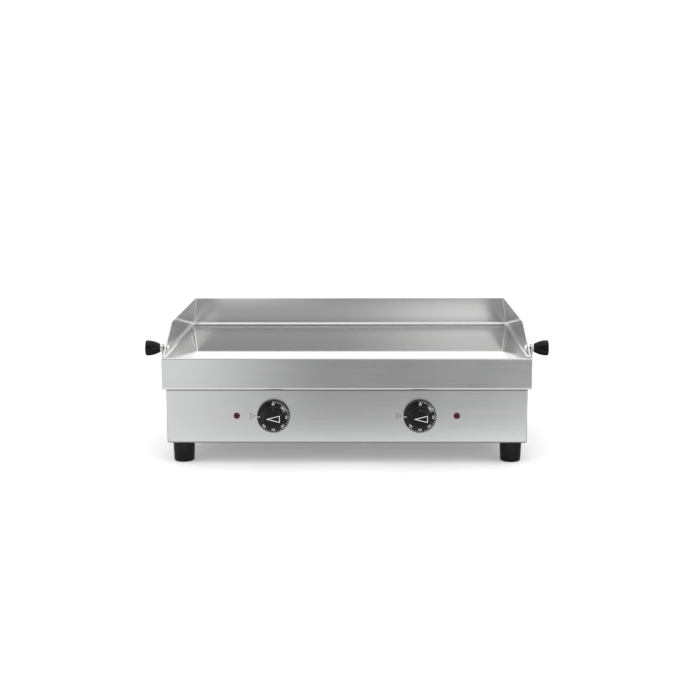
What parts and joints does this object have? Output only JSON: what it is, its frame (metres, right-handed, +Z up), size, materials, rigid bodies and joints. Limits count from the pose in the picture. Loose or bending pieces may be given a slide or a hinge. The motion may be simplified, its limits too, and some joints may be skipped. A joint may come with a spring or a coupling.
{
  "type": "flat top griddle",
  "caption": "Countertop electric griddle: wide flat steel plate with splash guards on a boxed base, tilting up on rear hinges, with front dials, lifting knobs and feet.",
  "frame": {"origin": "centre of the footprint, on the surface the feet stand on", "axes": "+X to the right seen from the front, +Y to the rear, +Z up; the dials face -Y"},
  "size_m": [0.749, 0.449, 0.2603],
  "materials": {
    "cooking_surface": "polished stainless steel, fine grain",
    "brushed_panel": "satin stainless steel, grain running sideways",
    "plain_steel": "plain mill finish",
    "fastener": "zinc plated",
    "bright_nut": "bright plated",
    "black_knob": "polished black phenolic",
    "black_dial": "glossy black with white scale",
    "foot_rubber": "semi-gloss black",
    "pilot_red": "clear red, unlit",
    "element_sheath": "heat darkened",
    "insulation": "ceramic fibre",
    "insulator": "pale moulded insulator",
    "grey_nylon": "matte"
  },
  "bodies": {
    "base": {"base_housing": "brushed_panel", "rear_panel": "brushed_panel", "bottom_panel": "plain_steel", "terminal_block": "insulator", "cable_gland": "grey_nylon", "gland_nut": "grey_nylon", "foot_front_left": "foot_rubber", "foot_front_right": "foot_rubber", "foot_rear_left": "foot_rubber", "foot_rear_right": "foot_rubber", "foot_screw_front_left": "fastener", "foot_screw_front_right": "fastener", "foot_screw_rear_left": "fastener", "foot_screw_rear_right": "fastener", "thermostat_left": "insulator", "pilot_lens_left": "pilot_red", "pilot_clip_left": "plain_steel", "hinge_base_leaf_left": "plain_steel", "hinge_pin_left": "fastener", "thermostat_right": "insulator", "pilot_lens_right": "pilot_red", "pilot_clip_right": "plain_steel", "hinge_base_leaf_right": "plain_steel", "hinge_pin_right": "fastener"},
    "griddle_top": {"cooking_plate": "cooking_surface", "splash_guard": "cooking_surface", "skirt": "brushed_panel", "insulation_mat": "insulation", "heat_shield": "plain_steel", "handle_ferrule_left": "bright_nut", "handle_knob_left": "black_knob", "handle_stud_left": "fastener", "handle_nut_left": "bright_nut", "heating_element_left": "element_sheath", "sensor_bulb_left": "plain_steel", "hinge_top_leaf_left": "plain_steel", "clamp_bar_left_front": "plain_steel", "clamp_nut_left_front": "fastener", "clamp_bar_left_rear": "plain_steel", "clamp_nut_left_rear": "fastener", "handle_ferrule_right": "bright_nut", "handle_knob_right": "black_knob", "handle_stud_right": "fastener", "handle_nut_right": "bright_nut", "heating_element_right": "element_sheath", "sensor_bulb_right": "plain_steel", "hinge_top_leaf_right": "plain_steel", "clamp_bar_right_front": "plain_steel", "clamp_nut_right_front": "fastener", "clamp_bar_right_rear": "plain_steel", "clamp_nut_right_rear": "fastener", "shield_screw_front_left": "fastener", "shield_screw_front_right": "fastener", "shield_screw_rear_left": "fastener", "shield_screw_rear_right": "fastener"},
    "dial_left": {"dial_left": "black_dial", "spindle_left": "plain_steel"},
    "dial_right": {"dial_right": "black_dial", "spindle_right": "plain_steel"}
  },
  "joints": [
    {"name": "top_tilt", "type": "hinge", "parent": "base", "child": "griddle_top", "pos_m": [0, 0.2175, 0.1431], "axis": [-1, 0, 0], "range_deg": [0, 80]},
    {"name": "dial_left_turn", "type": "hinge", "parent": "base", "child": "dial_left", "pos_m": [-0.1362, -0.1945, 0.0924], "axis": [0, 1, 0], "range_deg": [0, 270]},
    {"name": "dial_right_turn", "type": "hinge", "parent": "base", "child": "dial_right", "pos_m": [0.1362, -0.1945, 0.0924], "axis": [0, 1, 0], "range_deg": [0, 270]}
  ]
}
